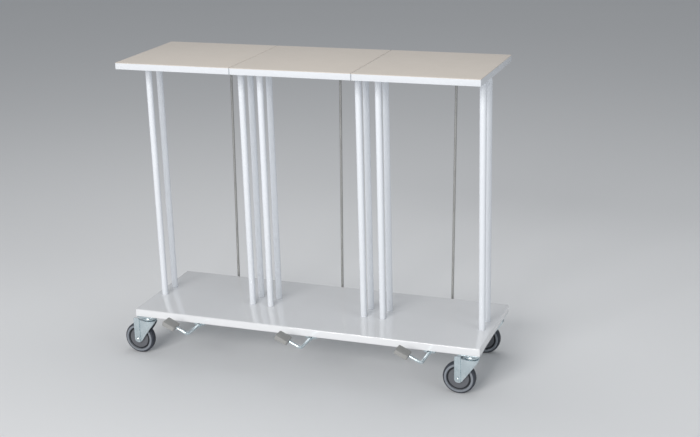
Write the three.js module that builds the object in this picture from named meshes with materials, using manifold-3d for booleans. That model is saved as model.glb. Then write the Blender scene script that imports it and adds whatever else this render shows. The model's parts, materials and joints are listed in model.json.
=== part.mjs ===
// Linen trolley: a low tray on four swivel casters carries six tube hoops.
// Three bag rings sit on the hoops, each under its own hinged lid. A foot pedal
// under each ring turns a shaft, whose crank pulls a rod that opens the lid.
// Millimetres, +Z up. X runs along the tray, Y from the pedals to the pull rods.

import * as THREE from 'three';
import { mergeVertices } from 'three/addons/utils/BufferGeometryUtils.js';
import Module from 'manifold-3d';

const wasm = await Module();
wasm.setup();

// Driving dimensions
const trayLength = 1125;
const trayDepth = 365;
const trayTop = 158; // height of the tray's deck above the floor
const trayEdge = 24; // height of the folded rim
const traySheet = 2;
const sideFlange = 20; // return flange under the long edges
const endFlange = 66; // wider return flange that carries the casters
const cellCount = 3;
const cellWidth = trayLength / cellCount;

const lidTop = 950; // height of the closed lids
const lidEdge = 20;
const lidSheet = 1.5;
const lidGap = 1.5; // gap between two neighbouring lids

const hoopDiameter = 20;
const hoopWall = 1.5;
const hoopInset = 31; // from the cell's side to the hoop's centre line
const hoopSpread = 68; // between the two legs of one hoop
const hoopMiddle = trayDepth / 2 - 3;

const ringDiameter = 10;
const ringFront = 28;
const ringRear = 337;
const ringCorner = 40;

const hingeOffset = 27; // hinge stands to the right of the cell's centre
const hingeY = trayDepth - 1;
const hingeZ = lidTop - 31;
const tailReach = 14; // from the hinge axis to the eye of the lid's tail
const tailAngle = 38; // the eye's angle above the horizontal, lid closed
const tailPlate = 4;

const rodDiameter = 8;
const rodBend = 8;
const rodY = hingeY + 12.5;
const crankReach = 33.4; // from the shaft to the crank's eye
const crankAngle = 15; // the crank's angle above the horizontal, pedal up
const shaftDiameter = 10;
const shaftDrop = 30; // shaft axis below the deck
const shaftRear = 390;
const pedalFront = -73; // the shaft's front bend
const pedalReach = 80;
const pedalAngle = 24.5;
const padSize = { along: 42, across: 41, thick: 14 };

const casterInset = { x: 32, y: 30 };
const casterTrail = 37;
const wheelRadius = 50;
const wheelWidth = 28;

const gap = 0.3; // clearance between pieces that touch

// Surfaces
const finishes = {
  white: { color: 0xf1f3f6, roughness: 0.32, metalness: 0 },
  lid: { color: 0xd9d4cd, roughness: 0.42, metalness: 0 },
  zinc: { color: 0xb9c2c6, roughness: 0.38, metalness: 0.9 },
  steel: { color: 0x9c9c9a, roughness: 0.4, metalness: 0.9 },
  pad: { color: 0xa3a5a4, roughness: 0.6, metalness: 0 },
  tyre: { color: 0x55585e, roughness: 0.75, metalness: 0 },
  hub: { color: 0x8b8e93, roughness: 0.55, metalness: 0 },
};

const trolley = new THREE.Group();

function addPiece(name, finish, geometry, parent = trolley) {
  const mesh = new THREE.Mesh(geometry, new THREE.MeshStandardMaterial(finishes[finish]));
  mesh.name = name;
  parent.add(mesh);
  return mesh;
}

// Solids for cutting and joining
function toSolid(geometry) {
  const bare = geometry.clone();
  bare.deleteAttribute('normal');
  bare.deleteAttribute('uv');
  const merged = mergeVertices(bare, 1e-4);
  return new wasm.Manifold(new wasm.Mesh({
    numProp: 3,
    vertProperties: new Float32Array(merged.attributes.position.array),
    triVerts: new Uint32Array(merged.index.array),
  }));
}

function fromSolid(solid) {
  const mesh = solid.getMesh();
  const geometry = new THREE.BufferGeometry();
  geometry.setAttribute('position', new THREE.BufferAttribute(mesh.vertProperties, 3));
  geometry.setIndex(new THREE.BufferAttribute(mesh.triVerts, 1));
  geometry.computeVertexNormals();
  return geometry;
}

function box(x0, x1, y0, y1, z0, z1) {
  return new THREE.BoxGeometry(x1 - x0, y1 - y0, z1 - z0)
    .translate((x0 + x1) / 2, (y0 + y1) / 2, (z0 + z1) / 2);
}

// A plate standing in the YZ plane: its outline's x is Y and its y is Z
function plateAlongX(shape, x0, x1, arcSteps = 6) {
  return new THREE.ExtrudeGeometry(shape, {
    depth: x1 - x0, bevelEnabled: false, curveSegments: arcSteps,
  }).applyMatrix4(new THREE.Matrix4().makeBasis(
    new THREE.Vector3(0, 1, 0),
    new THREE.Vector3(0, 0, 1),
    new THREE.Vector3(1, 0, 0),
  )).translate(x0, 0, 0);
}

// A plate standing in the XZ plane: its outline's x is X and its y is Z
function plateAlongY(shape, y0, y1, arcSteps = 6) {
  return new THREE.ExtrudeGeometry(shape, {
    depth: y1 - y0, bevelEnabled: false, curveSegments: arcSteps,
  }).rotateX(Math.PI / 2).translate(0, y1, 0);
}

function circleShape(radius, x = 0, y = 0) {
  const shape = new THREE.Shape();
  shape.absarc(x, y, radius, 0, 2 * Math.PI, false);
  return shape;
}

function polygon(points) {
  return new THREE.Shape(points.map(([x, y]) => new THREE.Vector2(x, y)));
}

// A flat bar between two round ends, as an outline
function linkShape(from, to, radiusFrom, radiusTo) {
  const angle = Math.atan2(to[1] - from[1], to[0] - from[0]);
  const shape = new THREE.Shape();
  shape.absarc(to[0], to[1], radiusTo, angle - Math.PI / 2, angle + Math.PI / 2, false);
  shape.absarc(from[0], from[1], radiusFrom, angle + Math.PI / 2, angle + Math.PI * 1.5, false);
  return shape;
}

// A path through chosen stations: its parameter counts stations, not length
class StationPath extends THREE.Curve {
  constructor(stations, closed = false) {
    super();
    this.stations = stations;
    this.closed = closed;
  }

  getUtoTmapping(u) {
    return u;
  }

  getPoint(t) {
    const spans = this.stations.length - 1;
    const place = Math.min(Math.max(t, 0), 1) * spans;
    const first = Math.min(Math.floor(place), spans - 1);
    return this.stations[first].clone().lerp(this.stations[first + 1], place - first);
  }

  getTangent(t) {
    const spans = this.stations.length - 1;
    const here = Math.round(t * spans);
    const before = this.closed ? (here + spans - 1) % spans : Math.max(here - 1, 0);
    const after = this.closed ? (here + 1) % spans : Math.min(here + 1, spans);
    const middle = this.stations[here];
    const incoming = middle.clone().sub(this.stations[before]).normalize();
    const outgoing = this.stations[after].clone().sub(middle).normalize();
    return incoming.add(outgoing).normalize();
  }
}

// Corner points joined by straight runs and arcs of one bend radius
function bend(corners, radius, arcSteps, closed = false) {
  const points = corners.map((corner) => new THREE.Vector3(...corner));
  const count = points.length;
  const stations = [];
  for (let i = 0; i < count; i += 1) {
    const isEnd = !closed && (i === 0 || i === count - 1);
    if (isEnd) {
      stations.push(points[i]);
    } else {
      const corner = points[i];
      const toBefore = points[(i + count - 1) % count].clone().sub(corner).normalize();
      const toAfter = points[(i + 1) % count].clone().sub(corner).normalize();
      const turn = Math.PI - toBefore.angleTo(toAfter);
      const centre = corner.clone().add(toBefore.clone().add(toAfter).normalize()
        .multiplyScalar(radius / Math.cos(turn / 2)));
      const start = corner.clone().addScaledVector(toBefore, radius * Math.tan(turn / 2));
      const arm = start.clone().sub(centre);
      const axis = toAfter.clone().cross(toBefore).normalize();
      for (let k = 0; k <= arcSteps; k += 1) {
        stations.push(arm.clone().applyAxisAngle(axis, (turn * k) / arcSteps).add(centre));
      }
    }
  }
  if (closed) {
    stations.push(stations[0].clone());
  }
  return new StationPath(stations, closed);
}

function barAlong(path, radius, sides, boreRadius = 0, boreSides = 8) {
  const section = new THREE.Shape(circlePoints(radius, sides));
  if (boreRadius > 0) {
    section.holes.push(new THREE.Path(circlePoints(boreRadius, boreSides)));
  }
  return new THREE.ExtrudeGeometry(section, {
    steps: path.stations.length - 1, extrudePath: path, bevelEnabled: false,
  });
}

function circlePoints(radius, sides) {
  return Array.from({ length: sides }, (_, i) => {
    const angle = (2 * Math.PI * i) / sides;
    return new THREE.Vector2(radius * Math.cos(angle), radius * Math.sin(angle));
  });
}

function lathe(profile, segments) {
  return new THREE.LatheGeometry(profile.map(([r, h]) => new THREE.Vector2(r, h)), segments);
}

// Tray: a folded pan, open below, with a return flange all round
function makeTray() {
  const bottom = trayTop - trayEdge;
  const outer = toSolid(box(0, trayLength, 0, trayDepth, bottom, trayTop));
  const hollow = toSolid(box(
    traySheet, trayLength - traySheet,
    traySheet, trayDepth - traySheet,
    bottom + traySheet, trayTop - traySheet,
  ));
  const mouth = toSolid(box(
    endFlange, trayLength - endFlange,
    sideFlange, trayDepth - sideFlange,
    bottom - 1, bottom + traySheet + 1,
  ));
  addPiece('deck_tray', 'white', fromSolid(outer.subtract(hollow).subtract(mouth)));
}

// Hoops: each is one tube bent into a narrow arch that stands on the tray
const ringHeight = lidTop - lidSheet - gap - ringDiameter / 2;
const hoopCrown = ringHeight - ringDiameter / 2 - gap - hoopDiameter / 2;

function makeHoop(name, x) {
  const front = hoopMiddle - hoopSpread / 2;
  const rear = hoopMiddle + hoopSpread / 2;
  const foot = trayTop + gap;
  const path = bend([
    [x, front, foot],
    [x, front, hoopCrown],
    [x, rear, hoopCrown],
    [x, rear, foot],
  ], hoopSpread / 2 - 0.01, 4);
  addPiece(name, 'white', barAlong(path, hoopDiameter / 2, 14, hoopDiameter / 2 - hoopWall, 8));
}

// Bag ring: a closed ring of round bar that lies on the two hoops of a cell
function makeRing(name, centreX) {
  const half = cellWidth / 2 - hoopInset;
  const path = bend([
    [centreX - half, ringFront, ringHeight],
    [centreX + half, ringFront, ringHeight],
    [centreX + half, ringRear, ringHeight],
    [centreX - half, ringRear, ringHeight],
  ], ringCorner, 4, true);
  const sides = path.stations.length - 1;
  addPiece(name, 'white', new THREE.TubeGeometry(path, sides, ringDiameter / 2, 8, true));
}

// Lid: a folded pan that covers one ring
function makeLid(name, centreX) {
  const half = (cellWidth - lidGap) / 2;
  const inner = half - lidSheet;
  const outer = toSolid(box(
    centreX - half, centreX + half, 0, trayDepth, lidTop - lidEdge, lidTop,
  ));
  const hollow = toSolid(box(
    centreX - inner, centreX + inner,
    lidSheet, trayDepth - lidSheet,
    lidTop - lidEdge - 1, lidTop - lidSheet,
  ));
  addPiece(name, 'lid', fromSolid(outer.subtract(hollow)));
}

// Hinge bracket: two ears on a bridge under the ring's rear bar
const ringUnderside = ringHeight - ringDiameter / 2 - gap;
const earInner = 5;
const earThick = 3;
const pinRadius = 3;

function makeHingeBracket(name, x) {
  const bridge = toSolid(box(
    x - earInner - earThick, x + earInner + earThick,
    ringRear - 8, ringRear + 9,
    ringUnderside - 3, ringUnderside,
  ));
  const outline = polygon([
    [ringRear - 8, ringUnderside],
    [ringRear + 9, ringUnderside],
    [ringRear + 18, hingeZ + 7.5],
    [hingeY, hingeZ + 7],
    [hingeY, hingeZ - 7],
    [ringRear + 14, hingeZ - 7],
  ]);
  let bracket = bridge;
  for (const x0 of [x - earInner - earThick, x + earInner]) {
    const web = toSolid(plateAlongX(outline, x0, x0 + earThick));
    const boss = toSolid(plateAlongX(circleShape(7, hingeY, hingeZ), x0, x0 + earThick, 7));
    bracket = bracket.add(web).add(boss);
  }
  const bore = toSolid(plateAlongX(
    circleShape(pinRadius + gap, hingeY, hingeZ), x - 20, x + 20, 6,
  ));
  addPiece(name, 'white', fromSolid(bracket.subtract(bore)));
}

function makeHingePin(name, x) {
  const half = earInner + earThick + 2;
  const pin = lathe([
    [0, -half],
    [pinRadius, -half],
    [pinRadius, half - 1.5],
    [pinRadius + 2, half - 1.5],
    [pinRadius + 2, half],
    [0, half],
  ], 12).rotateZ(-Math.PI / 2).translate(x, hingeY, hingeZ);
  addPiece(name, 'zinc', pin);
}

// Lid tail: a foot on the lid's rear edge, the hinge knuckle and the rod's eye
const tailEye = [
  hingeY + tailReach * Math.cos(THREE.MathUtils.degToRad(tailAngle)),
  hingeZ + tailReach * Math.sin(THREE.MathUtils.degToRad(tailAngle)),
];

function makeLidTail(name, x) {
  const back = trayDepth - lidSheet - gap;
  const foot = toSolid(box(x - 14, x + 14, back - 3, back, lidTop - 18, lidTop - 3));
  const web = toSolid(box(
    x - tailPlate / 2, x + tailPlate / 2, back - 13, back, hingeZ, lidTop - 3,
  ));
  const knuckle = toSolid(plateAlongX(
    circleShape(7, hingeY, hingeZ), x - earInner + 0.6, x + earInner - 0.6, 7,
  ));
  const tail = toSolid(plateAlongX(
    linkShape([hingeY, hingeZ], tailEye, 5, 5), x - tailPlate / 2, x + tailPlate / 2,
  ));
  const eye = toSolid(plateAlongX(
    circleShape(9, ...tailEye), x - tailPlate / 2, x + tailPlate / 2, 8,
  ));
  const pinBore = toSolid(plateAlongX(
    circleShape(pinRadius + gap, hingeY, hingeZ), x - 20, x + 20, 6,
  ));
  const eyeBore = toSolid(plateAlongX(
    circleShape(rodDiameter / 2 + 1.8, ...tailEye), x - 20, x + 20, 7,
  ));
  const solid = foot.add(web).add(knuckle).add(tail).add(eye);
  addPiece(name, 'zinc', fromSolid(solid.subtract(pinBore).subtract(eyeBore)));
}

// Pull rod: hooked along X through the tail's eye, along Y through the crank's
const shaftZ = trayTop - shaftDrop;
const crankEye = {
  x: -crankReach * Math.cos(THREE.MathUtils.degToRad(crankAngle)),
  z: shaftZ + crankReach * Math.sin(THREE.MathUtils.degToRad(crankAngle)),
};
const crankPlate = 4;
const crankFront = shaftRear - 2 - crankPlate;

function makePullRod(name, centreX) {
  const plateX = centreX + hingeOffset;
  const topX = plateX - tailPlate / 2 - 0.8 - rodBend;
  const bottomX = centreX + crankReach + crankEye.x - 0.55;
  const path = bend([
    [plateX + tailPlate / 2 + 4, rodY, tailEye[1]],
    [topX, rodY, tailEye[1]],
    [bottomX, rodY, crankEye.z],
    [bottomX, shaftRear + 1, crankEye.z],
  ], rodBend, 4);
  addPiece(name, 'steel', barAlong(path, rodDiameter / 2, 10));
}

// Pedal shaft: one round bar, bent at the front into the pedal's arm
function pedalDirection(distance) {
  const angle = THREE.MathUtils.degToRad(pedalAngle);
  return [-distance * Math.cos(angle), distance * Math.sin(angle)];
}

function makePedalShaft(name, shaftX) {
  const [armX, armZ] = pedalDirection(pedalReach);
  const path = bend([
    [shaftX, shaftRear, shaftZ],
    [shaftX, pedalFront, shaftZ],
    [shaftX + armX, pedalFront, shaftZ + armZ],
  ], 9, 5);
  addPiece(name, 'zinc', barAlong(path, shaftDiameter / 2, 12));
}

// Crank lever: a flat bar on the shaft's rear end
function makeCrankLever(name, shaftX) {
  const eye = [shaftX + crankEye.x, crankEye.z];
  const bar = toSolid(plateAlongY(
    linkShape([shaftX, shaftZ], eye, 9, 9), crankFront, crankFront + crankPlate, 7,
  ));
  const shaftBore = toSolid(plateAlongY(
    circleShape(shaftDiameter / 2 + gap, shaftX, shaftZ), crankFront - 5, crankFront + 9, 7,
  ));
  const eyeBore = toSolid(plateAlongY(
    circleShape(rodDiameter / 2 + 1.2, ...eye), crankFront - 5, crankFront + 9, 7,
  ));
  addPiece(name, 'zinc', fromSolid(bar.subtract(shaftBore).subtract(eyeBore)));
}

// Pedal pad: a block with rounded corners, pushed onto the arm
function makePedalPad(name, shaftX) {
  const { along, across, thick } = padSize;
  const corner = 4;
  const outline = new THREE.Shape();
  outline.absarc(along / 2 - corner, across / 2 - corner, corner, 0, Math.PI / 2);
  outline.absarc(corner - along / 2, across / 2 - corner, corner, Math.PI / 2, Math.PI);
  outline.absarc(corner - along / 2, corner - across / 2, corner, Math.PI, Math.PI * 1.5);
  outline.absarc(along / 2 - corner, corner - across / 2, corner, Math.PI * 1.5, Math.PI * 2);
  const block = toSolid(new THREE.ExtrudeGeometry(outline, {
    depth: thick, bevelEnabled: false, curveSegments: 3,
  }).translate(0, 0, -thick / 2));
  const tipWall = 3;
  const boreDepth = along - tipWall + 1;
  const bore = toSolid(new THREE.CylinderGeometry(
    shaftDiameter / 2 + gap, shaftDiameter / 2 + gap, boreDepth, 12,
  ).rotateZ(Math.PI / 2).translate((along - boreDepth) / 2 + 1, 0, 0));
  const pad = addPiece(name, 'pad', fromSolid(block.subtract(bore)));
  const [x, z] = pedalDirection(pedalReach + gap + tipWall - along / 2);
  pad.position.set(shaftX + x, pedalFront, shaftZ + z);
  pad.rotation.y = THREE.MathUtils.degToRad(pedalAngle);
}

// Shaft clamp: a strap round the shaft, with two ears and their screws
function makeShaftClamp(name, shaftX, y0, y1) {
  const top = trayTop - trayEdge - gap;
  const earBottom = top - 2.5;
  const inner = shaftDiameter / 2 + gap;
  const outer = inner + 2.5;
  const ear = 19;
  const outline = new THREE.Shape();
  outline.moveTo(inner, top);
  outline.lineTo(inner, shaftZ);
  outline.absarc(0, shaftZ, inner, 0, -Math.PI, true);
  outline.lineTo(-inner, top);
  outline.lineTo(-ear, top);
  outline.lineTo(-ear, earBottom);
  outline.lineTo(-outer, earBottom);
  outline.lineTo(-outer, shaftZ);
  outline.absarc(0, shaftZ, outer, -Math.PI, 0, false);
  outline.lineTo(outer, earBottom);
  outline.lineTo(ear, earBottom);
  outline.lineTo(ear, top);
  outline.closePath();
  let clamp = toSolid(plateAlongY(outline, y0, y1, 6));
  for (const side of [-1, 1]) {
    const screw = new THREE.CylinderGeometry(4, 4, 3.5, 8).rotateX(Math.PI / 2)
      .translate(side * (outer + ear) / 2, (y0 + y1) / 2, earBottom - 1.25);
    clamp = clamp.add(toSolid(screw));
  }
  addPiece(name, 'zinc', fromSolid(clamp).translate(shaftX, 0, 0));
}

// Casters: swivel head, fork, axle, wheel and tyre, the wheel trailing to -X
const casterHeight = trayTop - trayEdge - gap;
const forkTop = casterHeight - 15;
const forkInner = wheelWidth / 2 + 3;
const forkSheet = 2.5;

function makeCasterHead(name, parent) {
  const plate = toSolid(box(-30, 30, -30, 30, casterHeight - 3, casterHeight));
  const race = toSolid(lathe([
    [0, forkTop + gap],
    [16, forkTop + gap],
    [22, forkTop + 4],
    [22, casterHeight - 6],
    [18, casterHeight - 3.5],
    [18, casterHeight - 2],
    [0, casterHeight - 2],
  ], 20).rotateX(Math.PI / 2));
  addPiece(name, 'zinc', fromSolid(plate.add(race)), parent);
}

function makeCasterFork(name, parent) {
  const outerHalf = forkInner + forkSheet;
  const foot = 11;
  const left = -casterTrail - foot;
  const channel = new THREE.Shape();
  channel.moveTo(-outerHalf, 0);
  channel.lineTo(-forkInner, 0);
  channel.lineTo(-forkInner, forkTop - forkSheet - 3);
  channel.lineTo(3 - forkInner, forkTop - forkSheet);
  channel.lineTo(forkInner - 3, forkTop - forkSheet);
  channel.lineTo(forkInner, forkTop - forkSheet - 3);
  channel.lineTo(forkInner, 0);
  channel.lineTo(outerHalf, 0);
  channel.lineTo(outerHalf, forkTop - 5);
  channel.lineTo(outerHalf - 5, forkTop);
  channel.lineTo(5 - outerHalf, forkTop);
  channel.lineTo(-outerHalf, forkTop - 5);
  channel.closePath();
  const side = new THREE.Shape();
  side.absarc(-casterTrail, wheelRadius, foot, Math.PI, Math.PI * 1.8, false);
  side.lineTo(10, forkTop - 28);
  side.lineTo(22, forkTop - 8);
  side.lineTo(22, forkTop + 1);
  side.lineTo(left, forkTop + 1);
  side.closePath();
  const bore = toSolid(new THREE.CylinderGeometry(4 + gap, 4 + gap, 80, 12)
    .translate(-casterTrail, 0, wheelRadius));
  const fork = toSolid(plateAlongX(channel, left - 1, 24))
    .intersect(toSolid(plateAlongY(side, -outerHalf - 1, outerHalf + 1, 8)));
  addPiece(name, 'zinc', fromSolid(fork.subtract(bore)), parent);
}

function makeAxle(name, parent) {
  const half = forkInner + forkSheet + gap;
  const axle = lathe([
    [0, -half - 4],
    [4.5, -half - 4],
    [7, -half - 2],
    [7, -half],
    [4, -half],
    [4, half],
    [7, half],
    [7, half + 2],
    [4.5, half + 4],
    [0, half + 4],
  ], 12).translate(-casterTrail, 0, wheelRadius);
  addPiece(name, 'zinc', axle, parent);
}

function makeWheel(hubName, tyreName, parent) {
  const half = wheelWidth / 2;
  const bore = 4 + gap;
  const rim = 37;
  const hub = lathe([
    [bore, -half - 2],
    [11, -half - 2],
    [14, -half + 3],
    [rim - 4, -half + 4],
    [rim, -half + 1.5],
    [rim, half - 1.5],
    [rim - 4, half - 4],
    [14, half - 3],
    [11, half + 2],
    [bore, half + 2],
    [bore, -half - 2],
  ], 24);
  const tyre = lathe([
    [rim + gap, -half + 1],
    [wheelRadius - 5, -half + 1],
    [wheelRadius - 1.2, -half + 5],
    [wheelRadius, 0],
    [wheelRadius - 1.2, half - 5],
    [wheelRadius - 5, half - 1],
    [rim + gap, half - 1],
    [rim + gap, -half + 1],
  ], 32);
  for (const [name, finish, geometry] of [[hubName, 'hub', hub], [tyreName, 'tyre', tyre]]) {
    addPiece(name, finish, geometry.translate(-casterTrail, 0, wheelRadius), parent);
  }
}

function makeCaster(place, x, y) {
  const caster = new THREE.Group();
  caster.position.set(x, y, 0);
  trolley.add(caster);
  makeCasterHead(`caster_head_${place}`, caster);
  makeCasterFork(`caster_fork_${place}`, caster);
  makeAxle(`caster_axle_${place}`, caster);
  makeWheel(`wheel_hub_${place}`, `tyre_${place}`, caster);
}

makeTray();
for (let cell = 1; cell <= cellCount; cell += 1) {
  const centreX = (cell - 0.5) * cellWidth;
  const hoopX = cellWidth / 2 - hoopInset;
  const shaftX = centreX + crankReach;
  makeHoop(`hoop_left_${cell}`, centreX - hoopX);
  makeHoop(`hoop_right_${cell}`, centreX + hoopX);
  makeRing(`bag_ring_${cell}`, centreX);
  makeLid(`lid_${cell}`, centreX);
  makeHingeBracket(`hinge_bracket_${cell}`, centreX + hingeOffset);
  makeHingePin(`hinge_pin_${cell}`, centreX + hingeOffset);
  makeLidTail(`lid_tail_${cell}`, centreX + hingeOffset);
  makePullRod(`pull_rod_${cell}`, centreX);
  makePedalShaft(`pedal_shaft_${cell}`, shaftX);
  makeCrankLever(`crank_lever_${cell}`, shaftX);
  makePedalPad(`pedal_pad_${cell}`, shaftX);
  makeShaftClamp(`front_clamp_${cell}`, shaftX, 3, 18);
  makeShaftClamp(`rear_clamp_${cell}`, shaftX, trayDepth - 18, trayDepth - 3);
}
const { x: insetX, y: insetY } = casterInset;
makeCaster('front_left', insetX, insetY);
makeCaster('front_right', trayLength - insetX, insetY);
makeCaster('rear_left', insetX, trayDepth - insetY);
makeCaster('rear_right', trayLength - insetX, trayDepth - insetY);

// The origin is on the floor, under the middle of the whole trolley at rest
const leftReach = insetX - casterTrail - wheelRadius;
const frontReach = pedalFront - padSize.across / 2;
const rearReach = shaftRear + 1;
trolley.position.set(
  -(leftReach + trayLength) / 2,
  -(frontReach + rearReach) / 2,
  0,
);

const group = new THREE.Group();
group.add(trolley);

export default group;
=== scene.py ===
# Linen trolley: the finished pieces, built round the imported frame.
# Metres, +Z up, X along the tray, Y from the pedals to the pull rods.

import json
import math

import bmesh
import bpy
from mathutils import Matrix, Vector


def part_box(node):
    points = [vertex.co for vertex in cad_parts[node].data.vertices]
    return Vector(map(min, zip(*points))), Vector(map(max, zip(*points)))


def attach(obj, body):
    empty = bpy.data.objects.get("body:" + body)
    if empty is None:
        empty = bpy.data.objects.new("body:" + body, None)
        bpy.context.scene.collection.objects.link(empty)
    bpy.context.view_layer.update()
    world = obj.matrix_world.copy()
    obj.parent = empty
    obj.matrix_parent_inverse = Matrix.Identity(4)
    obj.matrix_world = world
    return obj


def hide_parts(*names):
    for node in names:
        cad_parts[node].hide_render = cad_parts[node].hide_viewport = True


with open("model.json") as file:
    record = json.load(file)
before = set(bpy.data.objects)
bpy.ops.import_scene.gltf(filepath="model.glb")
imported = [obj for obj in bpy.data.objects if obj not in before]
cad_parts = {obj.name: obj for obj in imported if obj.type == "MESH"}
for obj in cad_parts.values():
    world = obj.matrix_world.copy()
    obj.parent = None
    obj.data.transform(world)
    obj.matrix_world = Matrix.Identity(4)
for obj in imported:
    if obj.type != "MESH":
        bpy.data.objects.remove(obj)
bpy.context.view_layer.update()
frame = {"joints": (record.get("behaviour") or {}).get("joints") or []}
joints = {joint["name"]: joint for joint in frame["joints"]}
cells = (1, 2, 3)
casterPlaces = ("front_left", "front_right", "rear_left", "rear_right")
alongX = Vector((1, 0, 0))
alongY = Vector((0, 1, 0))
alongZ = Vector((0, 0, 1))
tiny = 1e-5  # two places this close are the same
mergeWithin = 2e-6
gap = 0.0003  # clearance between pieces that touch
through = 0.05  # length of a cutter that goes right through a small piece
softEdge = 0.0004  # usual rounding of a cut sheet's edges
print("frame loaded")


# Selecting and editing

def clearSelection():
    if bpy.context.mode != "OBJECT":
        bpy.ops.object.mode_set(mode="OBJECT")
    bpy.ops.object.select_all(action="DESELECT")


def pickPiece(piece):
    clearSelection()
    bpy.context.view_layer.objects.active = piece
    piece.select_set(True)


def beginEdit(piece):
    pickPiece(piece)
    bpy.ops.object.mode_set(mode="EDIT")


def beginDrawing():
    # A lone point or ring of edges can only be selected in vertex mode
    bpy.ops.object.mode_set(mode="EDIT")
    bpy.ops.mesh.select_mode(type="VERT")
    bpy.ops.mesh.select_all(action="SELECT")


def select(piece, kind, test):
    bpy.ops.mesh.select_mode(type=kind)
    bpy.ops.mesh.select_all(action="DESELECT")
    shape = bmesh.from_edit_mesh(piece.data)
    for part in {"VERT": shape.verts, "EDGE": shape.edges, "FACE": shape.faces}[kind]:
        part.select = test(part)
    shape.select_flush_mode()
    bmesh.update_edit_mesh(piece.data)


def moveBy(step):
    bpy.ops.transform.translate(value=tuple(step))


def extrudeBy(step):
    if Vector(step).length > tiny:
        bpy.ops.mesh.extrude_region_move(TRANSFORM_OT_translate={"value": tuple(step)})


def settleNormals():
    bpy.ops.mesh.select_mode(type="VERT")
    bpy.ops.mesh.select_all(action="SELECT")
    bpy.ops.mesh.remove_doubles(threshold=mergeWithin)
    bpy.ops.mesh.normals_make_consistent(inside=False)
    bpy.ops.object.mode_set(mode="OBJECT")


def claim(name):
    piece = bpy.context.object
    piece.name = name
    piece.data.name = name
    bpy.ops.object.transform_apply(location=True, rotation=True, scale=True)
    return piece


def newBlock(name, low, high):
    clearSelection()
    low, high = Vector(low), Vector(high)
    bpy.ops.mesh.primitive_cube_add(size=1, location=(low + high) / 2, scale=high - low)
    return claim(name)


def drawLine(name, points, closed=False):
    # A small plane merged to one point, then extruded from point to point
    clearSelection()
    bpy.ops.mesh.primitive_plane_add(size=0.001, location=points[0])
    piece = claim(name)
    beginDrawing()
    bpy.ops.mesh.merge(type="CENTER")
    for here, there in zip(points, points[1:]):
        bpy.ops.mesh.extrude_vertices_move(TRANSFORM_OT_translate={"value": tuple(there - here)})
    if closed:
        ends = (points[0], points[-1])
        select(piece, "VERT", lambda vert: min((vert.co - end).length for end in ends) < tiny)
        bpy.ops.mesh.edge_face_add()
    return piece


def plate(name, outline, origin, across, up, thickness, arcSteps=7):
    # An outline of (u, v) or (u, v, corner radius), filled and extruded along across x up
    origin, across, up = Vector(origin), Vector(across), Vector(up)
    places = [origin + across * corner[0] + up * corner[1] for corner in outline]
    piece = drawLine(name, places)
    bpy.ops.mesh.select_all(action="SELECT")
    bpy.ops.mesh.edge_face_add()
    for index, corner in enumerate(outline):
        if len(corner) > 2:
            toBefore = places[index - 1] - places[index]
            toAfter = places[(index + 1) % len(places)] - places[index]
            reach = corner[2] / math.tan(toBefore.angle(toAfter) / 2)
            select(piece, "VERT", lambda vert: (vert.co - places[index]).length < tiny)
            bpy.ops.mesh.bevel(offset=reach, segments=arcSteps, affect="VERTICES",
                               clamp_overlap=False)
    bpy.ops.mesh.select_all(action="SELECT")
    extrudeBy(across.cross(up) * thickness)
    settleNormals()
    return piece


def turned(name, profile, centre, axis, sides=40, closed=False):
    # A profile of (radius, place along the axis), spun a full turn
    centre, axis = Vector(centre), Vector(axis)
    outward = axis.orthogonal().normalized()
    points = [centre + outward * radius + axis * along for radius, along in profile]
    drawLine(name, points, closed)
    bpy.ops.mesh.select_all(action="SELECT")
    bpy.ops.mesh.spin(steps=sides, angle=2 * math.pi, center=centre, axis=axis)
    settleNormals()
    return bpy.context.object


def bentBar(name, corners, radius, bendRadius, sides=24, steps=8, closed=False, capped=True):
    # A ring of edges, extruded along the straights and spun round the bends
    route = [Vector(corner) for corner in corners]
    if closed:
        middle = (route[0] + route[1]) / 2
        route = [middle, *route[1:], route[0], middle]
    clearSelection()
    heading = (route[1] - route[0]).normalized()
    bpy.ops.mesh.primitive_circle_add(
        vertices=sides, radius=radius, fill_type="NOTHING",
        location=route[0], rotation=heading.to_track_quat("Z", "Y").to_euler())
    piece = claim(name)
    beginDrawing()
    here = route[0]
    for corner, following in zip(route[1:-1], route[2:]):
        along = (corner - here).normalized()
        onward = (following - corner).normalized()
        turn = along.angle(onward)
        reach = bendRadius * math.tan(turn / 2)
        bendStart = corner - along * reach
        axis = along.cross(onward).normalized()
        extrudeBy(bendStart - here)
        bpy.ops.mesh.spin(steps=steps, angle=-turn, axis=axis,
                          center=bendStart + axis.cross(along) * bendRadius)
        here = corner + onward * reach
    extrudeBy(route[-1] - here)
    bpy.ops.mesh.select_all(action="SELECT")
    if capped and not closed:
        bpy.ops.mesh.fill_holes(sides=0)
    settleNormals()
    return piece


# Cutting, joining, copying and finishing

def applyModifier(piece, kind, settings):
    pickPiece(piece)
    modifier = piece.modifiers.new(kind.lower(), kind)
    for key, value in settings.items():
        setattr(modifier, key, value)
    bpy.ops.object.modifier_apply(modifier=modifier.name)


def combine(piece, other, operation="UNION"):
    applyModifier(piece, "BOOLEAN", {"operation": operation, "object": other, "solver": "EXACT"})
    bpy.data.objects.remove(other)
    return piece


def bore(piece, centre, axis, radius, length, sides=28):
    clearSelection()
    bpy.ops.mesh.primitive_cylinder_add(
        vertices=sides, radius=radius, depth=length, location=centre,
        rotation=Vector(axis).to_track_quat("Z", "Y").to_euler())
    return combine(piece, claim("cutter"), "DIFFERENCE")


def joinPieces(piece, others):
    pickPiece(piece)
    for other in others:
        other.select_set(True)
    bpy.ops.object.join()
    return piece


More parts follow.
